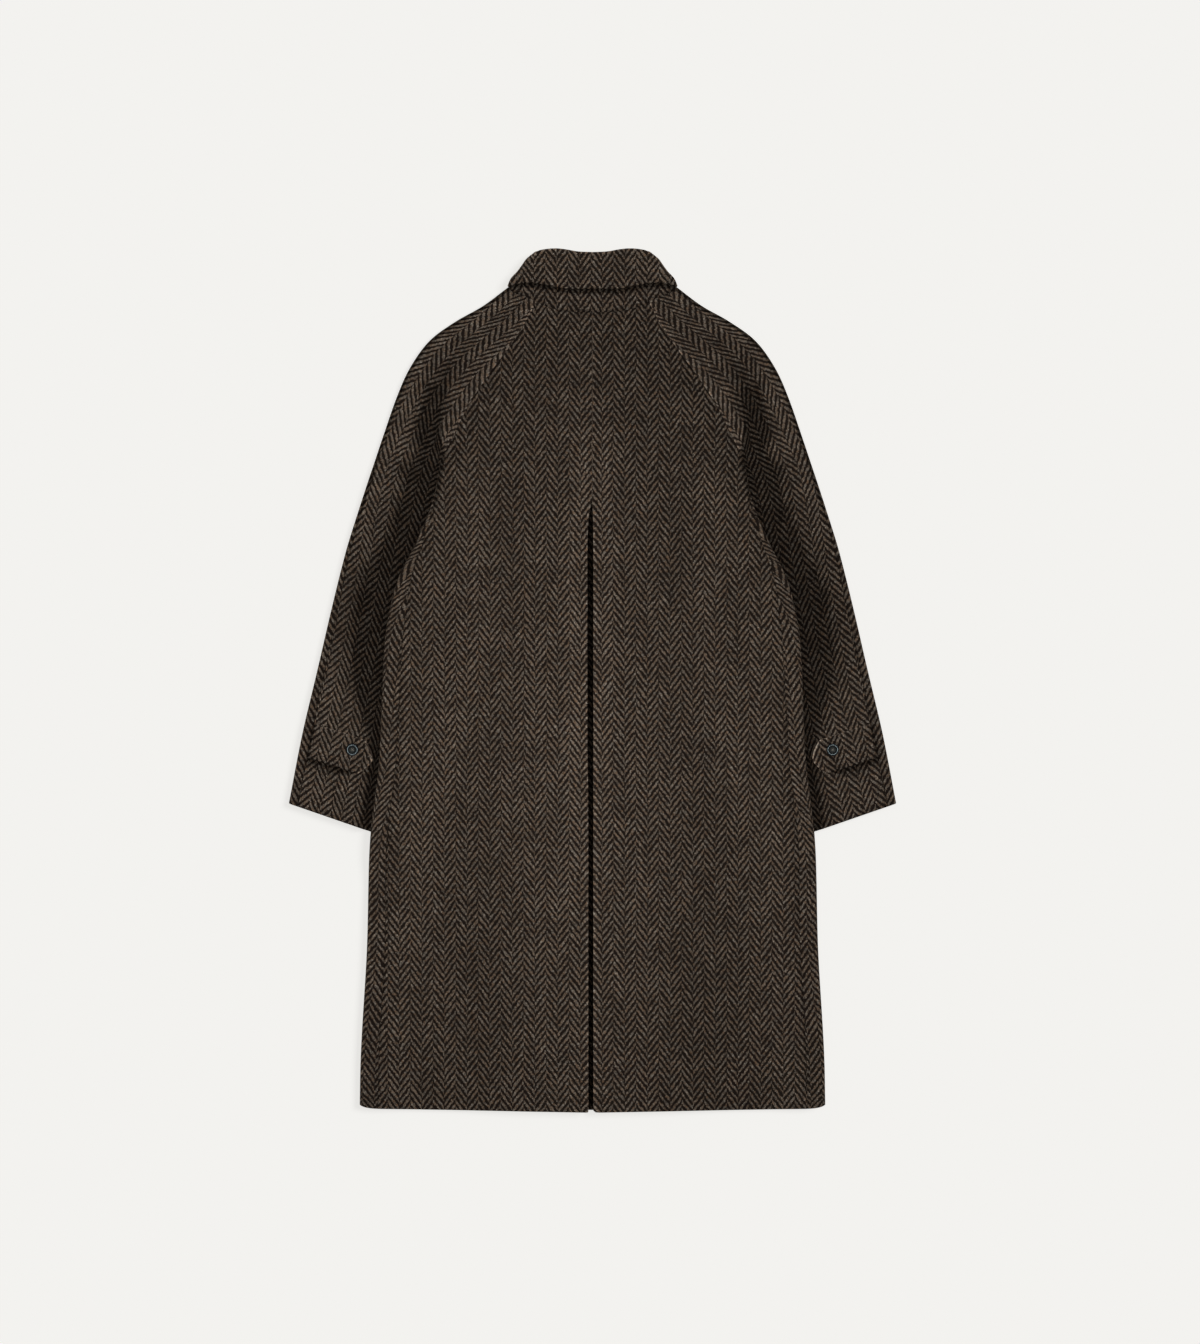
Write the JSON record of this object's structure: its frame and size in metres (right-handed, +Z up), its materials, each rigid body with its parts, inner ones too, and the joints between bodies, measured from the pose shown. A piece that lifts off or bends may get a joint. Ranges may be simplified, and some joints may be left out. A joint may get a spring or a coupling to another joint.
{
  "type": "raglan overcoat",
  "caption": "Raglan overcoat in dark brown herringbone tweed, laid flat with its back up: turned-down collar, raglan sleeves, buttoned cuff straps and a long inverted back pleat.",
  "frame": {"origin": "middle of the overall box, on the surface the coat lies on", "axes": "+Z up from that surface, out of the coat's back; +Y from hem to collar; +X towards the wearer's right sleeve, on the right as seen from above"},
  "size_m": [0.8188, 1.1641, 0.0206],
  "materials": {
    "tweed": "napped herringbone wool tweed, matt",
    "button_horn": "polished dark horn"
  },
  "bodies": {
    "root": {"back_left": "tweed", "back_right": "tweed", "pleat_underlay": "tweed", "front_left": "tweed", "front_right": "tweed", "sleeve_back_left": "tweed", "sleeve_back_right": "tweed", "sleeve_front_left": "tweed", "sleeve_front_right": "tweed", "collar_leaf": "tweed", "collar_stand": "tweed", "cuff_strap_left": "tweed", "cuff_strap_right": "tweed", "cuff_button_left": "button_horn", "cuff_button_right": "button_horn"}
  },
  "joints": []
}
